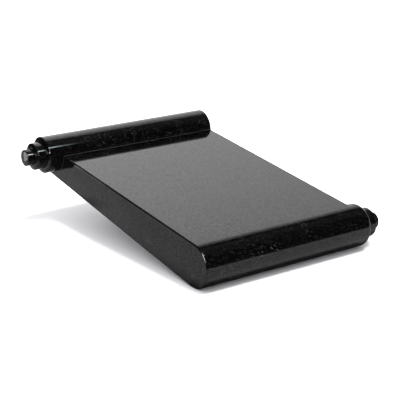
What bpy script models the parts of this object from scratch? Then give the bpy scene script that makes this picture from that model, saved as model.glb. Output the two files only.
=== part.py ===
"""Scroll-shaped granite grave plaque: a wedge slab whose lower end is a thick half roll, a turned
roller bedded in a cove along the upper end, a turned knob on the lower roll, and a rear foot."""
import math

import bmesh
import bpy

# Driving dimensions, metres and degrees
SLAB_WIDTH = 0.200
TOP_TILT = 6.86
UNDERSIDE_TILT = 10.0
EDGE_BEVEL = 0.0015

LOWER_ROLL_RADIUS = 0.02285
STANDING_FLAT_DEPTH = 0.0003
LOWER_KNOB_GROUND_CLEARANCE = 0.0004

ROLLER_RADIUS = 0.02025
ROLLER_AXIS_Y = 0.2649
ROLLER_AXIS_Z = 0.0744
ROLLER_END_BEVEL = 0.0012
SLAB_END_PAST_ROLLER_AXIS = 0.0135

UPPER_STUB_LENGTH = 0.0163
UPPER_STUB_EDGE = 0.0004
UPPER_STUB_RISE = 0.0020
UPPER_MIDDLE_RADIUS = 0.0149
UPPER_MIDDLE_LENGTH = 0.0092
UPPER_MIDDLE_RISE = 0.0018
UPPER_TIP_LENGTH = 0.0082
UPPER_TIP_RISE = 0.0006

LOWER_STUB_LENGTH = 0.0137
LOWER_STUB_ROUND = 0.0067
LOWER_MIDDLE_RADIUS = 0.0158
LOWER_MIDDLE_LENGTH = 0.0106
LOWER_MIDDLE_RISE = 0.0027
LOWER_TIP_LENGTH = 0.0070
LOWER_TIP_RISE = 0.0017

TIP_RADIUS = 0.0090
DOME_CREASE = 35.0

FOOT_WIDTH = 0.070
FOOT_DEPTH = 0.030
FOOT_CENTRE_Y = 0.223
FOOT_BEVEL = 0.0010

BEDDING_GAP = 0.0003

# How finely round shapes are divided
ROLL_ARC_STEPS = 40
COVE_ARC_STEPS = 20
TURNED_SEGMENTS = 48
DOME_STEPS = 5
UNDERSIDE_ARC_STEPS = 2
WELD_DISTANCE = 0.00001
FLAT_WITHIN = 0.5
SHARP_FROM = 20.0
FOOT_BEVEL_FROM = 40.0

# How the granite looks until it is dressed: grey value, a little bluer than grey, and roughness
POLISHED_SHADE = 0.012
POLISHED_ROUGHNESS = 0.10
SAWN_SHADE = 0.020
SAWN_ROUGHNESS = 0.45
BLUE_OVER_GREY = 1.06

PART_NAME = "grave_plaque"


def slope(degrees):
    """Unit direction, in the side view (y, z), of a line that rises to the back by this angle."""
    angle = math.radians(degrees)
    return math.cos(angle), math.sin(angle)


def roll_centre():
    """Axis of the lower roll in the side view: its standing flat lies on z = 0."""
    return 0.0, LOWER_ROLL_RADIUS - STANDING_FLAT_DEPTH


def roll_point(degrees):
    """Point of the lower roll at an angle counted from the back (+y) towards the top (+z)."""
    cy, cz = roll_centre()
    angle = math.radians(degrees)
    return cy + LOWER_ROLL_RADIUS * math.cos(angle), cz + LOWER_ROLL_RADIUS * math.sin(angle)


def underside_point(y):
    """Point of the underside, the other plane that leaves the lower roll as its tangent."""
    start_y, start_z = roll_point(270 + UNDERSIDE_TILT)
    run, rise = slope(UNDERSIDE_TILT)
    return y, start_z + (y - start_y) * rise / run


def back_of_standing_flat(flat_half_angle):
    """Outline from the standing flat to the underside: a short arc of the roll, or a plain corner."""
    if UNDERSIDE_TILT > flat_half_angle:
        first = 270 + flat_half_angle
        step = (UNDERSIDE_TILT - flat_half_angle) / UNDERSIDE_ARC_STEPS
        return [roll_point(first + step * i) for i in range(UNDERSIDE_ARC_STEPS + 1)]
    y, z = underside_point(0.0)
    run, rise = slope(UNDERSIDE_TILT)
    return [(y - z * run / rise, 0.0)]


def cove_meets_top_face():
    """Front crossing of the top face with the cove, found along the top face's direction."""
    radius = ROLLER_RADIUS + BEDDING_GAP
    start_y, start_z = roll_point(90 + TOP_TILT)
    run, rise = slope(TOP_TILT)
    to_y, to_z = ROLLER_AXIS_Y - start_y, ROLLER_AXIS_Z - start_z
    along = to_y * run + to_z * rise
    off = to_z * run - to_y * rise
    reach = along - math.sqrt(radius ** 2 - off ** 2)
    return start_y + reach * run, start_z + reach * rise


def slab_outline():
    """Closed side outline (y, z): lower roll, top face, cove under the roller, end, underside."""
    flat_half_angle = math.degrees(math.acos(1 - STANDING_FLAT_DEPTH / LOWER_ROLL_RADIUS))
    first, last = 90 + TOP_TILT, 270 - flat_half_angle
    outline = [roll_point(first + (last - first) * i / ROLL_ARC_STEPS) for i in range(ROLL_ARC_STEPS + 1)]
    outline += back_of_standing_flat(flat_half_angle)

    end_y = ROLLER_AXIS_Y + SLAB_END_PAST_ROLLER_AXIS
    outline.append(underside_point(end_y))

    radius = ROLLER_RADIUS + BEDDING_GAP
    front_y, front_z = cove_meets_top_face()
    from_angle = -math.acos(SLAB_END_PAST_ROLLER_AXIS / radius)
    to_angle = math.atan2(front_z - ROLLER_AXIS_Z, front_y - ROLLER_AXIS_Y)
    if to_angle > 0:
        to_angle -= 2 * math.pi
    for i in range(COVE_ARC_STEPS + 1):
        angle = from_angle + (to_angle - from_angle) * i / COVE_ARC_STEPS
        outline.append((ROLLER_AXIS_Y + radius * math.cos(angle), ROLLER_AXIS_Z + radius * math.sin(angle)))
    return outline


def foot_outline():
    """Closed side outline (y, z) of the foot: flat base, upright ends, top parallel to the underside."""
    front_y = FOOT_CENTRE_Y - FOOT_DEPTH / 2
    back_y = FOOT_CENTRE_Y + FOOT_DEPTH / 2
    gap = BEDDING_GAP / slope(UNDERSIDE_TILT)[0]
    back_z = underside_point(back_y)[1] - gap
    front_z = underside_point(front_y)[1] - gap
    return [(front_y, 0.0), (back_y, 0.0), (back_y, back_z), (front_y, front_z)]


def dome(start, outer, inner, rise, crease=DOME_CREASE):
    """Shoulder (distance, radius) from the edge at outer to the flat at inner: the stretch of an ellipse
    from the crease angle to its pole, scaled so that it starts at the edge."""
    points = []
    first = math.radians(crease)
    for i in range(DOME_STEPS + 1):
        angle = first + (math.pi / 2 - first) * i / DOME_STEPS
        out = (math.sin(angle) - math.sin(first)) / (1 - math.sin(first))
        left = math.cos(angle) / math.cos(first)
        points.append((start + rise * out, inner + (outer - inner) * left))
    return points


def lower_knob_radius():
    """The lower knob's stub carries the roll on, and stays just clear of the ground."""
    return LOWER_ROLL_RADIUS - STANDING_FLAT_DEPTH - LOWER_KNOB_GROUND_CLEARANCE


def stepped_end(start, middle_radius, middle_length, middle_rise, tip_length, tip_rise):
    """Middle step and tip (distance past the slab, radius), from the middle step's foot out to the pole."""
    middle_edge = start + middle_length
    tip_edge = middle_edge + middle_rise + tip_length
    profile = [(start, middle_radius)]
    profile += dome(middle_edge, middle_radius, TIP_RADIUS, middle_rise)
    profile += dome(tip_edge, TIP_RADIUS, 0.0, tip_rise)
    return profile


def upper_knob_profile():
    """The roller carried on past the slab: a stub with a crisp edge and a domed shoulder, then two steps."""
    edge_radius = ROLLER_RADIUS - UPPER_STUB_EDGE
    profile = dome(UPPER_STUB_LENGTH - UPPER_STUB_EDGE, ROLLER_RADIUS, edge_radius, UPPER_STUB_EDGE, 0.0)
    profile += dome(UPPER_STUB_LENGTH, edge_radius, UPPER_MIDDLE_RADIUS, UPPER_STUB_RISE)[1:-1]
    profile += stepped_end(
        UPPER_STUB_LENGTH + UPPER_STUB_RISE,
        UPPER_MIDDLE_RADIUS,
        UPPER_MIDDLE_LENGTH,
        UPPER_MIDDLE_RISE,
        UPPER_TIP_LENGTH,
        UPPER_TIP_RISE,
    )
    return profile


def lower_knob_profile():
    """The lower roll carried on past the slab: a stub with a fully rounded edge, then two steps."""
    round_start = LOWER_STUB_LENGTH - LOWER_STUB_ROUND
    profile = dome(round_start, lower_knob_radius(), LOWER_MIDDLE_RADIUS, LOWER_STUB_ROUND, 0.0)[:-1]
    profile += stepped_end(
        LOWER_STUB_LENGTH,
        LOWER_MIDDLE_RADIUS,
        LOWER_MIDDLE_LENGTH,
        LOWER_MIDDLE_RISE,
        LOWER_TIP_LENGTH,
        LOWER_TIP_RISE,
    )
    return profile


def frame_shift():
    """Move from the lower roll's axis to the middle of the whole part's footprint."""
    low_x = -SLAB_WIDTH / 2 - upper_knob_profile()[-1][0]
    high_x = SLAB_WIDTH / 2 + lower_knob_profile()[-1][0]
    low_y = roll_centre()[0] - LOWER_ROLL_RADIUS
    high_y = ROLLER_AXIS_Y + ROLLER_RADIUS
    return -(low_x + high_x) / 2, -(low_y + high_y) / 2


def granite(name, shade, roughness):
    """Polished black granite as a Principled material."""
    material = bpy.data.materials.new(name)
    material.use_nodes = True
    shader = material.node_tree.nodes["Principled BSDF"]
    shader.inputs["Base Color"].default_value = (shade, shade, shade * BLUE_OVER_GREY, 1.0)
    shader.inputs["Roughness"].default_value = roughness
    shader.inputs["Metallic"].default_value = 0.0
    return material


def extruded(name, outline, width, collection):
    """Mesh object of a side outline (y, z) carried along x over the given width, centred on x = 0."""
    curve = bpy.data.curves.new(name + "_outline", "CURVE")
    curve.dimensions = "2D"
    curve.fill_mode = "BOTH"
    curve.extrude = width / 2
    spline = curve.splines.new("POLY")
    spline.points.add(len(outline) - 1)
    for point, (y, z) in zip(spline.points, outline):
        point.co = (y, z, 0.0, 1.0)
    spline.use_cyclic_u = True
    drawn = bpy.data.objects.new(name + "_outline", curve)
    drawn.rotation_euler = (math.pi / 2, 0.0, math.pi / 2)
    collection.objects.link(drawn)
    bpy.context.view_layer.update()

    evaluated = drawn.evaluated_get(bpy.context.evaluated_depsgraph_get())
    mesh = bpy.data.meshes.new_from_object(evaluated)
    mesh.transform(drawn.matrix_world)
    bpy.data.objects.remove(drawn)
    mesh.name = name
    body = bpy.data.objects.new(name, mesh)
    collection.objects.link(body)
    return body


def weld_and_bevel(mesh, width, keep_sharp, bevel):
    """Close the extrusion's caps and bevel the edges of its two flat sides, except those kept sharp."""
    shape = bmesh.new()
    shape.from_mesh(mesh)
    bmesh.ops.remove_doubles(shape, verts=shape.verts, dist=WELD_DISTANCE)
    flat = math.radians(FLAT_WITHIN)
    bmesh.ops.dissolve_limit(shape, angle_limit=flat, verts=shape.verts, edges=shape.edges)
    rim = []
    for edge in shape.edges:
        on_side = all(abs(abs(vert.co.x) - width / 2) < WELD_DISTANCE for vert in edge.verts)
        same_side = edge.verts[0].co.x * edge.verts[1].co.x > 0
        if on_side and same_side and not all(keep_sharp(vert.co) for vert in edge.verts):
            rim.append(edge)
    bmesh.ops.bevel(shape, geom=rim, offset=bevel, segments=1, profile=0.5, affect="EDGES")
    bmesh.ops.recalc_face_normals(shape, faces=shape.faces)
    shape.to_mesh(mesh)
    shape.free()


def on_circle(co, centre, radius):
    """True for a point whose side view lies on this circle."""
    return abs(math.hypot(co.y - centre[0], co.z - centre[1]) - radius) < WELD_DISTANCE


def meets_another_piece(co):
    """True on the cove's wall, where the roller is bedded, and on the roll's right end, under the knob."""
    if on_circle(co, (ROLLER_AXIS_Y, ROLLER_AXIS_Z), ROLLER_RADIUS + BEDDING_GAP):
        return True
    return co.x > 0 and on_circle(co, roll_centre(), LOWER_ROLL_RADIUS)


def turned(name, profile, collection):
    """Solid of revolution: profile (distance, radius) from the far end to the near end, about +z."""
    mesh = bpy.data.meshes.new(name)
    points = [(radius, 0.0, distance) for distance, radius in profile]
    mesh.from_pydata(points, [(i, i + 1) for i in range(len(points) - 1)], [])
    body = bpy.data.objects.new(name, mesh)
    collection.objects.link(body)
    screw = body.modifiers.new("turn", "SCREW")
    screw.axis = "Z"
    screw.angle = 2 * math.pi
    screw.screw_offset = 0.0
    screw.steps = TURNED_SEGMENTS
    screw.render_steps = TURNED_SEGMENTS
    screw.use_merge_vertices = True
    screw.merge_threshold = WELD_DISTANCE
    screw.use_smooth_shade = True
    return body


def make_slab(collection):
    """Wedge slab with the lower roll, one stone, with polished bevels round both sides."""
    slab = extruded("slab", slab_outline(), SLAB_WIDTH, collection)
    weld_and_bevel(slab.data, SLAB_WIDTH, meets_another_piece, EDGE_BEVEL)
    slab.data.shade_smooth()
    slab.data.set_sharp_from_angle(angle=math.radians(SHARP_FROM))
    slab.data.materials.append(granite("slab polished granite", POLISHED_SHADE, POLISHED_ROUGHNESS))
    return slab


def make_top_roller(collection):
    """Turned roller along the upper end: plain on the right, stepped where it passes the left side."""
    right_end = -SLAB_WIDTH
    profile = upper_knob_profile()[::-1]
    profile += [(right_end + ROLLER_END_BEVEL, ROLLER_RADIUS), (right_end, ROLLER_RADIUS - ROLLER_END_BEVEL)]
    profile += [(right_end, 0.0)]
    roller = turned("top_roller", profile, collection)
    roller.location = (-SLAB_WIDTH / 2, ROLLER_AXIS_Y, ROLLER_AXIS_Z)
    roller.rotation_euler = (0.0, -math.pi / 2, 0.0)
    roller.data.materials.append(granite("roller polished granite", POLISHED_SHADE, POLISHED_ROUGHNESS))
    return roller


def make_lower_knob(collection):
    """Turned knob that carries the lower roll on past the slab's right side."""
    cy, cz = roll_centre()
    radius = lower_knob_radius()
    profile = lower_knob_profile()[::-1]
    profile += [(BEDDING_GAP, radius), (BEDDING_GAP, 0.0)]
    knob = turned("lower_knob", profile, collection)
    knob.location = (SLAB_WIDTH / 2, cy, cz)
    knob.rotation_euler = (0.0, math.pi / 2, 0.0)
    knob.data.materials.append(granite("knob polished granite", POLISHED_SHADE, POLISHED_ROUGHNESS))
    return knob


def make_rear_foot(collection):
    """Block under the upper end that holds the slab at its reading slope."""
    foot = extruded("rear_foot", foot_outline(), FOOT_WIDTH, collection)
    shape = bmesh.new()
    shape.from_mesh(foot.data)
    bmesh.ops.remove_doubles(shape, verts=shape.verts, dist=WELD_DISTANCE)
    bmesh.ops.recalc_face_normals(shape, faces=shape.faces)
    shape.to_mesh(foot.data)
    shape.free()
    bevel = foot.modifiers.new("arris", "BEVEL")
    bevel.width = FOOT_BEVEL
    bevel.segments = 1
    bevel.limit_method = "ANGLE"
    bevel.angle_limit = math.radians(FOOT_BEVEL_FROM)
    foot.data.materials.append(granite("foot sawn granite", SAWN_SHADE, SAWN_ROUGHNESS))
    return foot


def main():
    for leftover in list(bpy.data.objects):
        bpy.data.objects.remove(leftover)
    collection = bpy.data.collections.new(PART_NAME)
    bpy.context.scene.collection.children.link(collection)
    makers = (make_slab, make_top_roller, make_lower_knob, make_rear_foot)
    pieces = [make(collection) for make in makers]

    footprint_middle = bpy.data.objects.new("footprint_middle", None)
    collection.objects.link(footprint_middle)
    shift_x, shift_y = frame_shift()
    footprint_middle.location = (shift_x, shift_y, 0.0)
    for piece in pieces:
        piece.parent = footprint_middle
    bpy.context.view_layer.update()


main()
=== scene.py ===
"""Looks of a scroll-shaped grave plaque: polished black granite with a fine grey fleck, a thin line of
adhesive round the bedded roller, and a sawn foot, on a white table under a softbox."""
import math

import bmesh
import bpy
import numpy as np
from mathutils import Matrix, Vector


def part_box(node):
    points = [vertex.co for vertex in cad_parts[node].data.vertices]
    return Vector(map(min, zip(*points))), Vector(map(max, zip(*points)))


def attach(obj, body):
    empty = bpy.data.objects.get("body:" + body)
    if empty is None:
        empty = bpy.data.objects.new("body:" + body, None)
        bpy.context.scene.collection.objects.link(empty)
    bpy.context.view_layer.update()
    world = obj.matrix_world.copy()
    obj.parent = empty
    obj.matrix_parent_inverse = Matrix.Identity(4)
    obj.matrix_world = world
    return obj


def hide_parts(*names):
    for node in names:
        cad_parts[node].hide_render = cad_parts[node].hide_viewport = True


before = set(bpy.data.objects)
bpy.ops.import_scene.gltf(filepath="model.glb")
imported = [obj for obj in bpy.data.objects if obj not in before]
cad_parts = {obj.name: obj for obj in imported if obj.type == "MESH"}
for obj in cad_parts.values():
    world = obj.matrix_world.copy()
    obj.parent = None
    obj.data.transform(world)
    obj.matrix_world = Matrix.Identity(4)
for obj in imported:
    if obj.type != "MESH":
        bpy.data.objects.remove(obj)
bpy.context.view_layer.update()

# Camera fitted to the photograph's 400 pixel frame, metres and degrees
CAMERA_PLACE = (-0.7344, -1.0309, 0.4460)
CAMERA_YAW = 35.596
CAMERA_PITCH = 17.951
CAMERA_LENS = 110.95
CAMERA_SENSOR = 36.0
CAMERA_CLIP = 0.01

# Slab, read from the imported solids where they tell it
TOP_TILT = 6.86
UNDERSIDE_TILT = 10.0
ARRIS = 0.0015
SLAB_LOW, SLAB_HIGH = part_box("slab")
ROLLER_LOW, ROLLER_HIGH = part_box("top_roller")
KNOB_LOW, KNOB_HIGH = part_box("lower_knob")

LEFT_SIDE = SLAB_LOW.x
RIGHT_SIDE = SLAB_HIGH.x
END_Y = SLAB_HIGH.y
ROLLER_Y = (ROLLER_LOW.y + ROLLER_HIGH.y) / 2
ROLLER_Z = (ROLLER_LOW.z + ROLLER_HIGH.z) / 2
ROLLER_AXIS = np.array([ROLLER_Y, ROLLER_Z])
ROLLER_RADIUS = (ROLLER_HIGH.z - ROLLER_LOW.z) / 2
ROLL_Y = (KNOB_LOW.y + KNOB_HIGH.y) / 2
ROLL_Z = (KNOB_LOW.z + KNOB_HIGH.z) / 2
ROLL_AXIS = np.array([ROLL_Y, ROLL_Z])
ROLL_RADIUS = ROLL_Y - SLAB_LOW.y
BEDDING = 0.0003
COVE_RADIUS = ROLLER_RADIUS + BEDDING

# The right arris fades in from this far before the roll's axis, over this length
ARRIS_FADE_BEFORE = 0.003
ARRIS_FADE_LENGTH = 0.008

# Stepped ends: each step's radius, length and the rise of its domed shoulder
UPPER_STUB_LENGTH = 0.0163
UPPER_STUB_EDGE = 0.0004
UPPER_STUB_RISE = 0.0020
UPPER_MIDDLE = (0.0149, 0.0092, 0.0018)
UPPER_TIP = (0.0090, 0.0082, 0.0006)
LOWER_STUB_LENGTH = 0.0137
LOWER_STUB_ROUND = 0.0067
LOWER_MIDDLE = (0.0158, 0.0106, 0.0027)
LOWER_TIP = (0.0090, 0.0070, 0.0017)
DOME_CREASE = 35.0
ROLLER_END_BEVEL = 0.0012
CREASE_ROUND = 0.00025
CREASE_BEND = 20.0
LONG_FACE = 4
SUPPORT = 0.00012
SEAM = 0.00005

# Adhesive: its fillet's reach on the face, and the bead's height and its lap over each edge on the side
FILLET = 0.0006
BEAD_HEIGHT = 0.0003
BEAD_LAP = 0.0002
BED_STEPS = 12

# Fineness of the meshes
ROLL_STEPS = 72
FLAT_STEPS = 3
FACE_STEPS = 24
COVE_STEPS = 48
ARRIS_STEPS = 6
WIDTH_STEPS = 8
TURNED_STEPS = 160
DOME_STEPS = 14
CORNER_STEPS = 4
FILLET_STEPS = 6
BEAD_STEPS = 6
BAR_STEPS = 4
MERGE_DISTANCE = 1e-7
SHARP_BEND = 24.0

# Granite: scales in cells per metre, colours, and how the grains are picked
WHITE = (1.0, 1.0, 1.0)
GRAIN_SCALE = 1500.0
PATCH_SCALE = 55.0
PATCH_EDGES = (0.45, 0.72)
GREY_PICK = (0.85, 1.0)
GREY_LEAST, GREY_MORE = 0.6, 0.8
MICA_PICK = (0.985, 0.995)
ORE_PICK = (0.5, 1.0)
ORE_METAL = 0.8
GROUND_COLOUR = (0.0004, 0.0004, 0.0005, 1.0)
GREY_COLOUR = (0.026, 0.026, 0.0265, 1.0)
MICA_COLOUR = (0.07, 0.07, 0.07, 1.0)
POLISH, GRAIN_DULLING = 0.055, 0.03
POLISH_BUMP, POLISH_DEPTH, GRAIN_RELIEF = 0.04, 0.0001, 0.2
POLISHED_IOR = 1.55

ADHESIVE_COLOUR = (0.005, 0.005, 0.0055, 1.0)
ADHESIVE_LUMPS = 900.0
ADHESIVE_ROUGHNESS, ADHESIVE_UNEVEN = 0.3, 0.2
ADHESIVE_BUMP, ADHESIVE_DEPTH = 0.4, 0.0002
ADHESIVE_IOR = 1.4

SAWN_SCALE = 1300.0
SAW_LINES = 190.0
SAW_WANDER = 3.0
SAWN_DARK = (0.018, 0.018, 0.019, 1.0)
SAWN_PALE = (0.070, 0.070, 0.073, 1.0)
SAWN_ROUGHNESS, SAWN_UNEVEN = 0.55, 0.15
SAWN_BUMP, SAWN_DEPTH, SAWN_RELIEF = 0.35, 0.0002, 0.8
SAWN_IOR = 1.5
NOISE_DETAIL = 2.0

# Cards that the polished stone mirrors, metres, with their emission strengths
BACK_CARD_Y = 0.327
BACK_CARD_LEFT, BACK_CARD_RIGHT, BACK_CARD_TOP = -0.03, 4.0, 2.2
BACK_STRENGTH = 1.68
BELL_HEIGHT, BELL_WIDTH = 0.28, 0.47
BACK_FADE = -0.70
BACK_LEFT_CARD_LEFT, BACK_LEFT_CARD_RIGHT, BACK_LEFT_CARD_TOP = -0.32, -0.235, 0.045
BACK_LEFT_STRENGTH = 2.6
WINDOW_PLACE = (0.565, -0.68, 1.15)
WINDOW_TOWARDS = (-0.1, 0.12, 0.09)
WINDOW_WIDTH, WINDOW_HEIGHT = 0.15, 0.18
WINDOW_COLOUR = (0.82, 1.0, 1.04)
WINDOW_START, WINDOW_FADE, WINDOW_STRENGTH = 0.537, -36.0, 28.0
LEFT_CARD_PLACE = (-1.3, -0.6, 0.8)
LEFT_CARD_TOWARDS = (-0.1, -0.15, 0.04)
LEFT_CARD_WIDTH, LEFT_CARD_HEIGHT = 0.40, 1.1
LEFT_STRENGTH = 32.0

# Table: half its width, its colour, and where its mirrored part starts; in reflections its colour is
# painted darker, it dims under a painted shade on the left, and is darkest in a painted shadow band under
# the lower roll's bulge
TABLE_REACH = 6
TABLE_COLOUR = (0.82, 0.82, 0.83, 1.0)
TABLE_MIRRORED = 0.28
PAST_TABLE = 0.03
FRONT_EDGE = (-0.42, -0.30)
LEFT_EDGE = (-0.34, -0.26)
# Painted shade: in reflections the table is darker left of this step, down to this share of its colour
LEFT_PAINTED_SHADE = (-0.13, -0.05)
LEFT_PAINTED_SHADE_SHARE = 0.76
# Painted shadow: in reflections the table is darkest in a band under the lower roll's bulge, between these
# edges and by this depth
PAINTED_SHADOW_FRONT = (-0.157, -0.148)
PAINTED_SHADOW_BACK = (-0.125, -0.110)
PAINTED_SHADOW_LEFT = (-0.115, -0.095)
PAINTED_SHADOW_DEPTH = 0.75

# World: the dark room in reflections with its faint ceiling, and the fill light with its brighter back
ROOM, CEILING, CEILING_EDGES = 0.035, 0.15, (0.6, 1.0)
FILL, BACK_FILL, BACK_FILL_EDGES = 1.15, 3.0, (0.5, 0.95)
WORLD_COLOUR = (0.985, 0.985, 1.0, 1.0)

# Softbox, hidden from reflections
SOFTBOX_PLACE = (0.8, -0.4, 3.0)
SOFTBOX_SIZE = (1.4, 1.2)
SOFTBOX_WATTS = 170.0


def slope(degrees):
    """Unit direction (y, z) of a line that rises to the back by this angle."""
    return np.array([math.cos(math.radians(degrees)), math.sin(math.radians(degrees))])


def circle(axis, radius, angle):
    """Points (y, z) at these angles in radians on a circle: axis + radius (cos, sin)."""
    return axis + np.stack([radius * np.cos(angle), radius * np.sin(angle)], -1)


def curve(start, corner, end, share):
    """Points on the parabola from start to end that both its end tangents lead to the corner."""
    return start * (1 - share) ** 2 + 2 * corner * share * (1 - share) + end * share ** 2


def slab_outline(inset):
    """Closed side outline (y, z) of the slab, every face moved in by inset, always with as many points.
    In order: the roll's circle from the standing flat's front edge up to the top face's tangent point,
    the top face's line, the cove's circle to the end plane, the end plane, and the underside's line."""
    radius = ROLL_RADIUS - inset
    half_flat = math.degrees(math.acos((ROLL_Z - inset) / radius))
    roll_turn = np.linspace(270 - half_flat, 90 + TOP_TILT, ROLL_STEPS)
    roll = circle(ROLL_AXIS, radius, np.radians(roll_turn))

    along = slope(TOP_TILT)
    to_axis = ROLLER_AXIS - roll[-1]
    ahead = to_axis @ along
    aside = along[0] * to_axis[1] - along[1] * to_axis[0]
    reach = ahead - math.sqrt(COVE_RADIUS ** 2 - aside ** 2)
    face = roll[-1] + np.linspace(0, reach, FACE_STEPS + 1)[1:, None] * along

    first = math.atan2(face[-1, 1] - ROLLER_Z, face[-1, 0] - ROLLER_Y) % (2 * math.pi)
    last = 2 * math.pi - math.acos((END_Y - inset - ROLLER_Y) / COVE_RADIUS)
    cove = circle(ROLLER_AXIS, COVE_RADIUS, np.linspace(first, last, COVE_STEPS + 1)[1:])

    under_turn = np.linspace(270 + UNDERSIDE_TILT, 270 + half_flat, FLAT_STEPS + 1)
    under = circle(ROLL_AXIS, radius, np.radians(under_turn))
    run, rise = slope(UNDERSIDE_TILT)
    corner = np.array([END_Y - inset, under[0, 1] + (END_Y - inset - under[0, 0]) * rise / run])
    share = np.linspace(0, 1, FACE_STEPS + 1)[:-1, None]
    underside = corner * (1 - share) + under[0] * share
    return np.concatenate([roll, face, cove, underside, under])


def mesh_object(name, points, faces):
    """Object at the origin from points and faces, its doubles merged and its faces pointing out."""
    mesh = bpy.data.meshes.new(name)
    mesh.from_pydata(np.asarray(points).tolist(), [], [list(face) for face in faces])
    shape = bmesh.new()
    shape.from_mesh(mesh)
    bmesh.ops.remove_doubles(shape, verts=shape.verts, dist=MERGE_DISTANCE)
    bmesh.ops.recalc_face_normals(shape, faces=shape.faces)
    shape.to_mesh(mesh)
    shape.free()
    mesh.shade_smooth()
    mesh.set_sharp_from_angle(angle=math.radians(SHARP_BEND))
    piece = bpy.data.objects.new(name, mesh)
    bpy.context.scene.collection.objects.link(piece)
    return piece


def band_faces(rows, columns):
    """Quads between neighbouring rows of a grid of points, wrapping round the columns."""
    row, column = np.meshgrid(np.arange(rows - 1), np.arange(columns), indexing="ij")
    here, beside = row * columns + column, row * columns + (column + 1) % columns
    return np.stack([here, beside, beside + columns, here + columns], -1).reshape(-1, 4)


def lofted(name, loops):
    """Solid through closed loops of points (loop, point, (x, y, z)), the first and last each filled by
    one face."""
    rows, columns = loops.shape[:2]
    faces = band_faces(rows, columns).tolist()
    faces.append(list(range(columns)))
    faces.append(list(range((rows - 1) * columns, rows * columns)))
    return mesh_object(name, loops.reshape(-1, 3), faces)


def carried(name, stations, outlines):
    """Solid from closed outlines (station, point, (y, z)) set at x stations."""
    x = np.repeat(np.asarray(stations)[:, None], outlines.shape[1], 1)
    return lofted(name, np.concatenate([x[..., None], outlines], -1))


def turned(name, profile, start_x, outward, axis):
    """Solid of revolution about a line along x: profile (distance, radius) turned a full circle.
    x = start + outward * distance, (y, z) = axis + radius (cos, sin)."""
    distance, radius = np.asarray(profile, float).T
    angle = np.linspace(0, 2 * math.pi, TURNED_STEPS, endpoint=False)
    x = np.repeat((start_x + outward * distance)[:, None], TURNED_STEPS, 1)
    points = np.concatenate([x[..., None], circle(axis, radius[:, None], angle)], -1).reshape(-1, 3)
    return mesh_object(name, points, band_faces(len(distance), TURNED_STEPS))


def dome(start, outer, inner, rise, crease=DOME_CREASE):
    """Shoulder (distance, radius): the stretch of an ellipse from the crease angle a0 to its pole.
    distance = start + rise (sin a - sin a0) / (1 - sin a0),
    radius = inner + (outer - inner) cos a / cos a0."""
    first = math.radians(crease)
    angle = np.linspace(first, math.pi / 2, DOME_STEPS)
    out = (np.sin(angle) - math.sin(first)) / (1 - math.sin(first))
    left = np.cos(angle) / math.cos(first)
    left[-1] = 0.0
    return np.stack([start + rise * out, inner + (outer - inner) * left], -1)


def softened(profile):
    """The profile with each crease replaced by a small parabola, from CREASE_ROUND before it to as far
    after, and a supporting point just outside each end of it, so that shading stays flat on the long
    faces beside it."""
    before = profile[1:-1] - profile[:-2]
    after = profile[2:] - profile[1:-1]
    length_before = np.linalg.norm(before, axis=1)
    length_after = np.linalg.norm(after, axis=1)
    bend_cosine = (before * after).sum(1) / (length_before * length_after)
    bend = np.degrees(np.arccos(np.clip(bend_cosine, -1, 1)))
    share = np.linspace(0, 1, CORNER_STEPS + 1)[:, None]
    points = [profile[:1]]
    for i in range(len(before)):
        corner = profile[i + 1]
        if bend[i] < CREASE_BEND:
            points.append(corner[None])
            continue
        enter = corner - before[i] / length_before[i] * min(CREASE_ROUND, length_before[i] / 2)
        leave = corner + after[i] / length_after[i] * min(CREASE_ROUND, length_after[i] / 2)
        if length_before[i] > LONG_FACE * CREASE_ROUND:
            points.append((enter - before[i] / length_before[i] * SUPPORT)[None])
        points.append(curve(enter, corner, leave, share))
        if length_after[i] > LONG_FACE * CREASE_ROUND:
            points.append((leave + after[i] / length_after[i] * SUPPORT)[None])
    points.append(profile[-1:])
    return np.concatenate(points)


def stepped_end(start, middle, tip):
    """Middle step and tip (distance past the slab, radius), from the middle step's foot out to the pole."""
    radius, length, rise = middle
    tip_radius, tip_length, tip_rise = tip
    foot = np.array([[start, radius]])
    shoulder = dome(start + length, radius, tip_radius, rise)
    end = dome(start + length + rise + tip_length, tip_radius, 0.0, tip_rise)
    return np.concatenate([foot, shoulder, end])


def make_slab():
    """Wedge slab and lower roll, one stone. Its arrises are quarter rounds: at the angle a the outline
    stands ARRIS (1 - sin a) short of the side plane and ARRIS (1 - cos a) further in. On the right the
    arris fades out towards the roll, which the knob carries on, by the smooth step s s (3 - 2 s)."""
    angle = np.linspace(math.pi / 2, 0, ARRIS_STEPS + 1)
    inset = ARRIS * (1 - np.cos(angle))
    back_from_side = ARRIS * (1 - np.sin(angle))
    left = np.stack([slab_outline(d) for d in inset])
    plain = slab_outline(0.0)
    fade = np.clip((plain[:, 0] - ROLL_Y + ARRIS_FADE_BEFORE) / ARRIS_FADE_LENGTH, 0, 1)
    fade = (fade * fade * (3 - 2 * fade))[:, None]
    right = plain + (left[::-1] - plain) * fade
    first_x, last_x = LEFT_SIDE + ARRIS, RIGHT_SIDE - ARRIS
    between = np.linspace(first_x, last_x, WIDTH_STEPS + 1)[1:-1]
    middle_x = np.concatenate([[first_x + SUPPORT], between, [last_x - SUPPORT]])
    stations = np.concatenate([LEFT_SIDE + back_from_side, middle_x, RIGHT_SIDE - back_from_side[::-1]])
    middle = np.repeat(plain[None], len(middle_x), 0)
    return carried("granite_slab", stations, np.concatenate([left, middle, right]))


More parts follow.
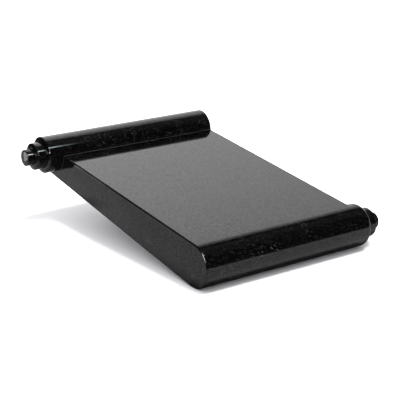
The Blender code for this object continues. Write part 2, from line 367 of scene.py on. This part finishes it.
def make_adhesive():
    """Thin bed of adhesive between roller and cove. On the face it ends in a small fillet that meets the
    roller a little higher, and on the slab's left side in a bead with a half-round section."""
    outline = slab_outline(0.0)
    first = ROLL_STEPS + FACE_STEPS - 1
    edge = outline[first]
    cove = outline[first:first + COVE_STEPS + 1]
    turn = np.unwrap(np.arctan2(cove[:, 1] - ROLLER_Z, cove[:, 0] - ROLLER_Y))

    inner, outer = ROLLER_RADIUS - SEAM, COVE_RADIUS + SEAM
    above = circle(ROLLER_AXIS, inner, turn[0] - FILLET / ROLLER_RADIUS)
    on_face = edge - FILLET * slope(TOP_TILT)
    fillet = curve(on_face, edge, above, np.linspace(0, 1, FILLET_STEPS + 1)[:, None])
    bed = turn[:BED_STEPS]
    bed_inside, bed_outside = circle(ROLLER_AXIS, inner, bed), circle(ROLLER_AXIS, outer, bed[::-1])
    section = np.concatenate([fillet, bed_inside, bed_outside])
    stations = np.linspace(LEFT_SIDE + ARRIS, RIGHT_SIDE - ARRIS, BAR_STEPS + 1)
    bar = carried("adhesive_bed", stations, np.repeat(section[None], len(stations), 0))

    round_turn = np.linspace(0, math.pi, BEAD_STEPS + 1)
    middle, half = (inner + outer) / 2, (outer - inner) / 2 + BEAD_LAP
    radius = middle + half * np.cos(round_turn)
    out = LEFT_SIDE - BEAD_HEIGHT * np.sin(round_turn)
    loop_radius = np.concatenate([radius, [middle - half, middle + half]])
    loop_x = np.concatenate([out, [LEFT_SIDE + ARRIS, LEFT_SIDE + ARRIS]])
    arc = circle(ROLLER_AXIS, loop_radius[None], turn[:, None])
    x = np.repeat(loop_x[None], len(turn), 0)
    bead = lofted("adhesive_bead", np.concatenate([x[..., None], arc], -1))
    return bar, bead


def make_roller():
    """Turned roller, plain on the right and stepped past the slab's left side."""
    width = RIGHT_SIDE - LEFT_SIDE
    edge_radius = ROLLER_RADIUS - UPPER_STUB_EDGE
    edge_start = UPPER_STUB_LENGTH - UPPER_STUB_EDGE
    edge = dome(edge_start, ROLLER_RADIUS, edge_radius, UPPER_STUB_EDGE, 0.0)
    support = np.array([[edge[0, 0] - SUPPORT, ROLLER_RADIUS]])
    shoulder = dome(UPPER_STUB_LENGTH, edge_radius, UPPER_MIDDLE[0], UPPER_STUB_RISE)[1:-1]
    steps = stepped_end(UPPER_STUB_LENGTH + UPPER_STUB_RISE, UPPER_MIDDLE, UPPER_TIP)
    near = np.concatenate([support, edge, shoulder, steps])
    far_inner = ROLLER_RADIUS - ROLLER_END_BEVEL
    far = dome(width - ROLLER_END_BEVEL, ROLLER_RADIUS, far_inner, ROLLER_END_BEVEL, 0.0) * (-1, 1)
    far_support = np.array([[far[0, 0] + SUPPORT, ROLLER_RADIUS]])
    flat = np.array([[-width, 0.0], [-width, far_inner - SUPPORT]])
    profile = np.concatenate([flat, far[::-1], far_support, softened(near)])
    return turned("granite_roller", profile, LEFT_SIDE, -1, ROLLER_AXIS)


def make_lower_knob():
    """Turned knob that carries the lower roll on past the slab's right side, flat where the roll stands."""
    round_start = LOWER_STUB_LENGTH - LOWER_STUB_ROUND
    stub = dome(round_start, ROLL_RADIUS, LOWER_MIDDLE[0], LOWER_STUB_ROUND, 0.0)[:-1]
    near = softened(np.concatenate([stub, stepped_end(LOWER_STUB_LENGTH, LOWER_MIDDLE, LOWER_TIP)]))
    start = np.array([[SEAM, 0.0], [SEAM, ROLL_RADIUS], [round_start - SUPPORT, ROLL_RADIUS]])
    knob = turned("granite_lower_knob", np.concatenate([start, near]), RIGHT_SIDE, 1, ROLL_AXIS)
    place = np.zeros(len(knob.data.vertices) * 3)
    knob.data.vertices.foreach_get("co", place)
    place[2::3] = np.maximum(place[2::3], 0.0)
    knob.data.vertices.foreach_set("co", place)
    knob.data.update()
    return knob


class Value:
    """A socket that Python's operators work on: each adds a Math node to its node tree."""

    def __init__(self, shader, socket):
        self.shader = shader
        self.socket = socket

    def maths(self, operation, first, second=None):
        """Math node of this operation on one or two values."""
        return self.shader.node("ShaderNodeMath", {"operation": operation}, {0: first, 1: second})

    def __add__(self, other):
        return self.maths("ADD", self, other)

    def __sub__(self, other):
        return self.maths("SUBTRACT", self, other)

    def __rsub__(self, other):
        return self.maths("SUBTRACT", other, self)

    def __mul__(self, other):
        return self.maths("MULTIPLY", self, other)

    def __truediv__(self, other):
        return self.maths("DIVIDE", self, other)

    def __pow__(self, other):
        return self.maths("POWER", self, other)

    def exp(self):
        """e to the power of the value."""
        return self.maths("EXPONENT", self)

    __radd__ = __add__
    __rmul__ = __mul__


class Shader:
    """Node tree of a material or the world, filled by one method."""

    def __init__(self, owner):
        owner.use_nodes = True
        self.tree = owner.node_tree
        self.tree.nodes.clear()

    def node(self, kind, settings=None, inputs=None, outputs=0):
        """Adds a node, sets its settings, then its sockets to values or links. Returns one output, or a
        list of them for a tuple of numbers."""
        made = self.tree.nodes.new(kind)
        for name, value in (settings or {}).items():
            setattr(made, name, value)
        for name, value in (inputs or {}).items():
            if isinstance(value, Value):
                self.tree.links.new(value.socket, made.inputs[name])
            elif value is not None:
                made.inputs[name].default_value = value
        if not made.outputs:
            return None
        if isinstance(outputs, tuple):
            return [Value(self, made.outputs[i]) for i in outputs]
        return Value(self, made.outputs[outputs])

    def place(self):
        """Object coordinates."""
        return self.node("ShaderNodeTexCoord", outputs=3)

    def axes(self, vector):
        """The x, y and z of a vector."""
        return self.node("ShaderNodeSeparateXYZ", {}, {0: vector}, (0, 1, 2))

    def step(self, value, start, end):
        """0 below start and 1 above end, with a smooth rise between them."""
        return self.node(
            "ShaderNodeMapRange",
            {"interpolation_type": "SMOOTHSTEP"},
            {"Value": value, "From Min": start, "From Max": end},
        )

    def mix(self, factor, first, second):
        """Colour between two, by factor."""
        return self.node("ShaderNodeMix", {"data_type": "RGBA"}, {0: factor, 6: first, 7: second}, 2)

    def cells(self, place, scale):
        """Red, green and blue, each even from 0 to 1, of crystals' random colours."""
        inputs = {"Vector": place, "Scale": scale}
        colour = self.node("ShaderNodeTexVoronoi", {"feature": "F1"}, inputs, 1)
        return self.node("ShaderNodeSeparateColor", {}, {0: colour}, (0, 1, 2))

    def noise(self, place, scale):
        """Smooth noise about 0.5."""
        inputs = {"Vector": place, "Scale": scale, "Detail": NOISE_DETAIL}
        return self.node("ShaderNodeTexNoise", {}, inputs)

    def bump(self, strength, depth, height):
        """Normal that a height, in shares of depth, bends."""
        inputs = {"Strength": strength, "Distance": depth, "Height": height}
        return self.node("ShaderNodeBump", {}, inputs)

    def principled(self, inputs):
        """Principled surface with these inputs, as the material's output."""
        surface = self.node("ShaderNodeBsdfPrincipled", {}, inputs)
        self.node("ShaderNodeOutputMaterial", {}, {"Surface": surface})


def polished_granite():
    """Black granite polished to a mirror: a nearly black ground, sparse grey crystals about two thirds of
    a millimetre across that gather in patches, a few pale mica points, grains with a metallic glint, and
    a polish that is a little softer on the crystals."""
    material = bpy.data.materials.new("polished black granite")
    shader = Shader(material)
    place = shader.place()
    pick, second_pick, _ = shader.cells(place, GRAIN_SCALE)
    ore = shader.step(second_pick, *ORE_PICK)
    patches = shader.noise(place, PATCH_SCALE)
    cloud = shader.step(patches, *PATCH_EDGES)
    grey = shader.step(pick, *GREY_PICK) * (GREY_LEAST + cloud * GREY_MORE)
    mica = shader.step(pick, *MICA_PICK) * cloud
    ground = shader.mix(grey, GROUND_COLOUR, GREY_COLOUR)
    shader.principled({
        "Base Color": shader.mix(mica, ground, MICA_COLOUR),
        "Roughness": POLISH + grey * GRAIN_DULLING,
        "Metallic": ore * ORE_METAL,
        "Normal": shader.bump(POLISH_BUMP, POLISH_DEPTH, patches + grey * GRAIN_RELIEF),
        "IOR": POLISHED_IOR,
    })
    return material


def dark_adhesive():
    """Black-tinted epoxy, smoothed by a wiped finger and a little uneven."""
    material = bpy.data.materials.new("dark adhesive")
    shader = Shader(material)
    lumps = shader.noise(shader.place(), ADHESIVE_LUMPS)
    shader.principled({
        "Base Color": ADHESIVE_COLOUR,
        "Roughness": ADHESIVE_ROUGHNESS + lumps * ADHESIVE_UNEVEN,
        "Normal": shader.bump(ADHESIVE_BUMP, ADHESIVE_DEPTH, lumps),
        "IOR": ADHESIVE_IOR,
    })
    return material


def sawn_granite():
    """The same stone left as the saw cut it: dark grey, dull, with fine crystals and shallow saw lines."""
    material = bpy.data.materials.new("sawn black granite")
    shader = Shader(material)
    place = shader.place()
    pick, _, _ = shader.cells(place, SAWN_SCALE)
    waves = {"Vector": place, "Scale": SAW_LINES, "Distortion": SAW_WANDER, "Detail": NOISE_DETAIL}
    cut = shader.node("ShaderNodeTexWave", {"bands_direction": "Z"}, waves, 1)
    shader.principled({
        "Base Color": shader.mix(pick, SAWN_DARK, SAWN_PALE),
        "Roughness": SAWN_ROUGHNESS + pick * SAWN_UNEVEN,
        "Normal": shader.bump(SAWN_BUMP, SAWN_DEPTH, cut + pick * SAWN_RELIEF),
        "IOR": SAWN_IOR,
    })
    return material


def emission_card(name, corners, glow_of):
    """Four-cornered glowing card that only polished surfaces see. glow_of(shader) gives its colour and
    strength."""
    card = mesh_object(name, corners, [(0, 1, 2, 3)])
    material = bpy.data.materials.new(name)
    shader = Shader(material)
    colour, strength = glow_of(shader)
    glow = shader.node("ShaderNodeEmission", {}, {"Color": (*colour, 1.0), "Strength": strength})
    shader.node("ShaderNodeOutputMaterial", {}, {"Surface": glow})
    card.data.materials.append(material)
    card.visible_camera = False
    card.visible_diffuse = False
    card.visible_shadow = False


def back_glow(shader):
    """Back card's glow: a bell curve over the height, exp(-((z - BELL_HEIGHT) / BELL_WIDTH)^2 / 2), that
    fades to the right by exp(BACK_FADE x)."""
    x, _, z = shader.axes(shader.place())
    bell = (((z - BELL_HEIGHT) / BELL_WIDTH) ** 2.0 * -0.5).exp()
    return WHITE, bell * (x * BACK_FADE).exp() * BACK_STRENGTH


def window_glow(shader):
    """Window card's glow, highest at its left end: it fades to the right by
    exp(WINDOW_FADE (x - WINDOW_START))."""
    x, _, _ = shader.axes(shader.place())
    return WINDOW_COLOUR, ((x - WINDOW_START) * WINDOW_FADE).exp() * WINDOW_STRENGTH


def plain_glow(strength):
    """White glow of the same strength all over a card."""
    return lambda shader: (WHITE, strength)


def standing_card(name, left, right, top, glow_of):
    """Card that stands on the table behind the plaque, from left to right in the plane y = BACK_CARD_Y."""
    corners = [(x, BACK_CARD_Y, z) for x, z in ((left, 0.0), (right, 0.0), (right, top), (left, top))]
    emission_card(name, corners, glow_of)


def facing_card(name, centre, towards, width, height, glow_of):
    """Card at centre, turned towards a point, with two level edges."""
    centre, towards = np.array(centre), np.array(towards)
    facing = (towards - centre) / np.linalg.norm(towards - centre)
    side = np.cross((0.0, 0.0, 1.0), facing)
    side /= np.linalg.norm(side)
    rise = np.cross(facing, side)
    signs = ((-1, -1), (1, -1), (1, 1), (-1, 1))
    corners = [centre + side * s * width / 2 + rise * r * height / 2 for s, r in signs]
    emission_card(name, corners, glow_of)


def make_floor():
    """White table. Polished surfaces see it only as far as its own edges, and dark room past them. In their
    reflections its colour is painted darker, with a painted shade on the left and a painted shadow,
    darkest, in a band under the lower roll's bulge."""
    reach = TABLE_REACH
    corners = [(-reach, -reach, 0), (reach, -reach, 0), (reach, reach, 0), (-reach, reach, 0)]
    floor = mesh_object("floor", corners, [(0, 1, 2, 3)])
    material = bpy.data.materials.new("white table")
    shader = Shader(material)
    x, y, _ = shader.axes(shader.place())
    front = shader.step(y, *FRONT_EDGE)
    left = shader.step(x, *LEFT_EDGE)
    # Painted shade: in reflections the table is darker on the left
    on_table = front * left * (LEFT_PAINTED_SHADE_SHARE + shader.step(x, *LEFT_PAINTED_SHADE) * (1 - LEFT_PAINTED_SHADE_SHARE))
    # Painted shadow: in reflections the table is darkest in a band under the lower roll's bulge
    painted_shadow_rows = shader.step(y, *PAINTED_SHADOW_FRONT) * (1.0 - shader.step(y, *PAINTED_SHADOW_BACK))
    painted_shadow_band = painted_shadow_rows * shader.step(x, *PAINTED_SHADOW_LEFT)
    glossy = shader.node("ShaderNodeLightPath", outputs=3)
    # Colour of the table in reflections, painted darker than its own colour
    mirrored = PAST_TABLE + on_table * (1.0 - painted_shadow_band * PAINTED_SHADOW_DEPTH) * (TABLE_MIRRORED - PAST_TABLE)
    colour = shader.mix(glossy, TABLE_COLOUR, mirrored)
    white = shader.node("ShaderNodeBsdfDiffuse", {}, {"Color": colour})
    shader.node("ShaderNodeOutputMaterial", {}, {"Surface": white})
    floor.data.materials.append(material)


def make_world():
    """White behind everything, a dark room with a faint ceiling in reflections, and soft fill from all
    sides, brighter from the back."""
    world = bpy.data.worlds.new("studio")
    bpy.context.scene.world = world
    shader = Shader(world)
    _, y, z = shader.axes(shader.node("ShaderNodeTexCoord", outputs=0))
    camera, glossy = shader.node("ShaderNodeLightPath", outputs=(0, 3))
    room = ROOM + shader.step(z, *CEILING_EDGES) * CEILING
    fill = FILL + shader.step(y, *BACK_FILL_EDGES) * BACK_FILL
    lit = fill + glossy * (room - fill)
    strength = lit + camera * (1.0 - lit)
    glow = shader.node("ShaderNodeBackground", {}, {"Color": WORLD_COLOUR, "Strength": strength})
    shader.node("ShaderNodeOutputWorld", {}, {"Surface": glow})


def make_lights():
    """Softbox above the plaque, to its right and front, and the cards that its polished surfaces mirror."""
    lamp = bpy.data.lights.new("softbox", "AREA")
    lamp.shape = "RECTANGLE"
    lamp.size, lamp.size_y = SOFTBOX_SIZE
    lamp.energy = SOFTBOX_WATTS
    holder = bpy.data.objects.new("softbox", lamp)
    holder.location = SOFTBOX_PLACE
    holder.visible_glossy = False
    bpy.context.scene.collection.objects.link(holder)

    standing_card("back_card", BACK_CARD_LEFT, BACK_CARD_RIGHT, BACK_CARD_TOP, back_glow)
    facing_card(
        "window_card", WINDOW_PLACE, WINDOW_TOWARDS, WINDOW_WIDTH, WINDOW_HEIGHT, window_glow
    )
    facing_card(
        "left_card", LEFT_CARD_PLACE, LEFT_CARD_TOWARDS, LEFT_CARD_WIDTH, LEFT_CARD_HEIGHT,
        plain_glow(LEFT_STRENGTH),
    )
    standing_card(
        "back_left_card", BACK_LEFT_CARD_LEFT, BACK_LEFT_CARD_RIGHT, BACK_LEFT_CARD_TOP,
        plain_glow(BACK_LEFT_STRENGTH),
    )


def make_camera():
    """Level camera at the photograph's place, looking down by its pitch."""
    camera = bpy.data.cameras.new("camera")
    camera.lens = CAMERA_LENS
    camera.sensor_width = CAMERA_SENSOR
    camera.clip_start = CAMERA_CLIP
    holder = bpy.data.objects.new("camera", camera)
    holder.location = CAMERA_PLACE
    holder.rotation_euler = (math.radians(90 - CAMERA_PITCH), 0.0, -math.radians(CAMERA_YAW))
    bpy.context.scene.collection.objects.link(holder)
    bpy.context.scene.camera = holder


def dress(piece, material, slot, *nodes):
    """Gives a piece its material, ties it to the body, and hides the solids that it stands for."""
    piece.data.materials.clear()
    piece.data.materials.append(material)
    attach(piece, "root")
    if nodes:
        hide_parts(*nodes)


make_camera()
make_world()
make_floor()
make_lights()

polished = polished_granite()
dress(make_slab(), polished, "polished_granite", "slab")
dress(make_roller(), polished, "polished_granite", "top_roller")
dress(make_lower_knob(), polished, "polished_granite", "lower_knob")

adhesive = dark_adhesive()
for bead in make_adhesive():
    bead.data.materials.append(adhesive)
    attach(bead, "root")

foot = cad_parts["rear_foot"]
foot.data.materials.clear()
foot.data.materials.append(sawn_granite())

bpy.context.scene.view_settings.view_transform = "Standard"
